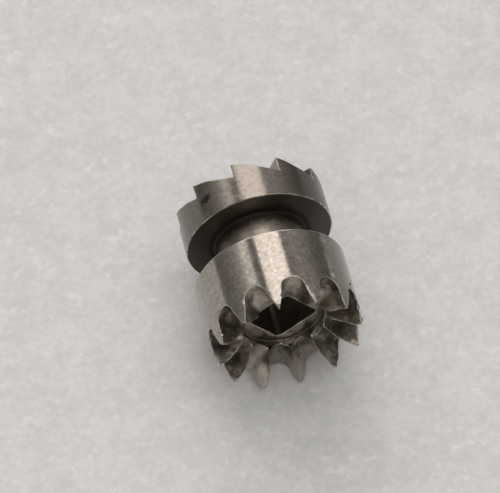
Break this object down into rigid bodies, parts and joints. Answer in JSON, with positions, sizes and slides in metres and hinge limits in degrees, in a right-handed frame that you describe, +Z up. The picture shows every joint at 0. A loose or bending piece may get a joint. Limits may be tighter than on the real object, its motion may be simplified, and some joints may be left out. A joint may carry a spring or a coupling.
{
  "type": "watch clutch wheel",
  "caption": "Small steel clutch wheel with pointed crown teeth, sawtooth ratchet teeth, a shifting groove and a square bore for a winding stem.",
  "frame": {"origin": "on the stem bore's axis at mid-length, which is the centre of the bounding box", "axes": "+Y along the bore towards the ratchet teeth, -Y towards the crown teeth, +Z up with the wheel lying on its side"},
  "size_m": [0.0026, 0.003, 0.0026],
  "materials": {
    "hardened_steel": "turned and polished, with brown oxide in the tooth gaps"
  },
  "bodies": {
    "root": {"clutch_wheel": "hardened_steel"}
  },
  "joints": []
}
